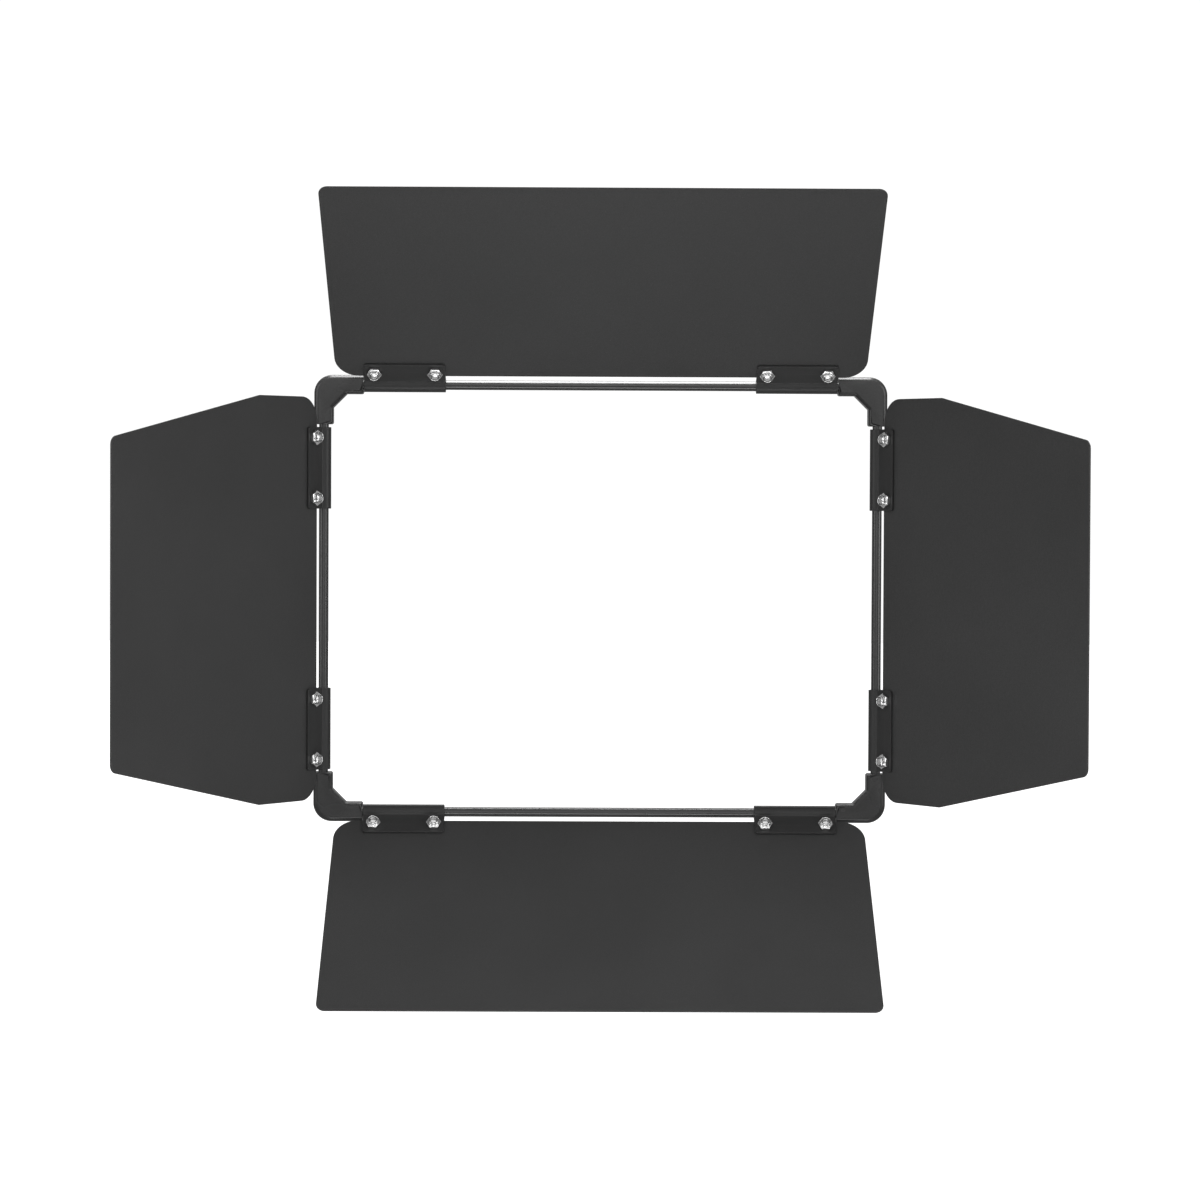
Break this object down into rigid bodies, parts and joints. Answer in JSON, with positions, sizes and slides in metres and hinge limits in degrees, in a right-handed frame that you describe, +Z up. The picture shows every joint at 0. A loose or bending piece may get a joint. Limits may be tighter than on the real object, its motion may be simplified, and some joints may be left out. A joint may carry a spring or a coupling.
{
  "type": "barndoor set",
  "caption": "Folding barndoor set for a panel light: flat black leaves on friction clips round the rods of a rectangular frame.",
  "frame": {"origin": "centre of the bounding box with the leaves at rest, about 1 mm left of and 2 mm above the middle of the light window", "axes": "+X is to the right seen from the front, +Z is up, and the front, where the light comes out, faces -Y"},
  "size_m": [0.473, 0.1514, 0.4082],
  "materials": {
    "leaf": "black fine powder coat on 1 mm aluminium sheet, matt",
    "clip": "black powder coat on folded steel strip, satin matt",
    "rod": "satin black coated steel rod",
    "elbow": "black textured powder coat on a cast corner",
    "screw": "bright zinc plate",
    "nut": "bright zinc plate",
    "set_screw": "black oxide"
  },
  "bodies": {
    "root": {"bottom_left_elbow": "elbow", "bottom_left_set_screw_1": "set_screw", "bottom_left_set_screw_2": "set_screw", "bottom_right_elbow": "elbow", "bottom_right_set_screw_1": "set_screw", "bottom_right_set_screw_2": "set_screw", "bottom_rod": "rod", "left_rod": "rod", "right_rod": "rod", "top_left_elbow": "elbow", "top_left_set_screw_1": "set_screw", "top_left_set_screw_2": "set_screw", "top_right_elbow": "elbow", "top_right_set_screw_1": "set_screw", "top_right_set_screw_2": "set_screw", "top_rod": "rod"},
    "top_leaf_body": {"top_clip_1": "clip", "top_clip_2": "clip", "top_leaf": "leaf", "top_nut_1": "nut", "top_nut_2": "nut", "top_nut_3": "nut", "top_nut_4": "nut", "top_screw_1": "screw", "top_screw_2": "screw", "top_screw_3": "screw", "top_screw_4": "screw"},
    "bottom_leaf_body": {"bottom_clip_1": "clip", "bottom_clip_2": "clip", "bottom_leaf": "leaf", "bottom_nut_1": "nut", "bottom_nut_2": "nut", "bottom_nut_3": "nut", "bottom_nut_4": "nut", "bottom_screw_1": "screw", "bottom_screw_2": "screw", "bottom_screw_3": "screw", "bottom_screw_4": "screw"},
    "left_leaf_body": {"left_clip_1": "clip", "left_clip_2": "clip", "left_leaf": "leaf", "left_nut_1": "nut", "left_nut_2": "nut", "left_nut_3": "nut", "left_nut_4": "nut", "left_screw_1": "screw", "left_screw_2": "screw", "left_screw_3": "screw", "left_screw_4": "screw"},
    "right_leaf_body": {"right_clip_1": "clip", "right_clip_2": "clip", "right_leaf": "leaf", "right_nut_1": "nut", "right_nut_2": "nut", "right_nut_3": "nut", "right_nut_4": "nut", "right_screw_1": "screw", "right_screw_2": "screw", "right_screw_3": "screw", "right_screw_4": "screw"}
  },
  "joints": [
    {"name": "top_leaf_hinge", "type": "hinge", "parent": "root", "child": "top_leaf_body", "pos_m": [0.00112, 0.06771, 0.10845], "axis": [1, 0, 0], "range_deg": [-58.3, 73.7]},
    {"name": "bottom_leaf_hinge", "type": "hinge", "parent": "root", "child": "bottom_leaf_body", "pos_m": [0.00112, 0.06771, -0.11195], "axis": [-1, 0, 0], "range_deg": [-60.5, 71.5]},
    {"name": "left_leaf_hinge", "type": "hinge", "parent": "root", "child": "left_leaf_body", "pos_m": [-0.14163, 0.06771, -0.00175], "axis": [0, 0, 1], "range_deg": [-71.3, 123.7]},
    {"name": "right_leaf_hinge", "type": "hinge", "parent": "root", "child": "right_leaf_body", "pos_m": [0.14387, 0.06771, -0.00175], "axis": [0, 0, -1], "range_deg": [-72.2, 121.3]}
  ]
}
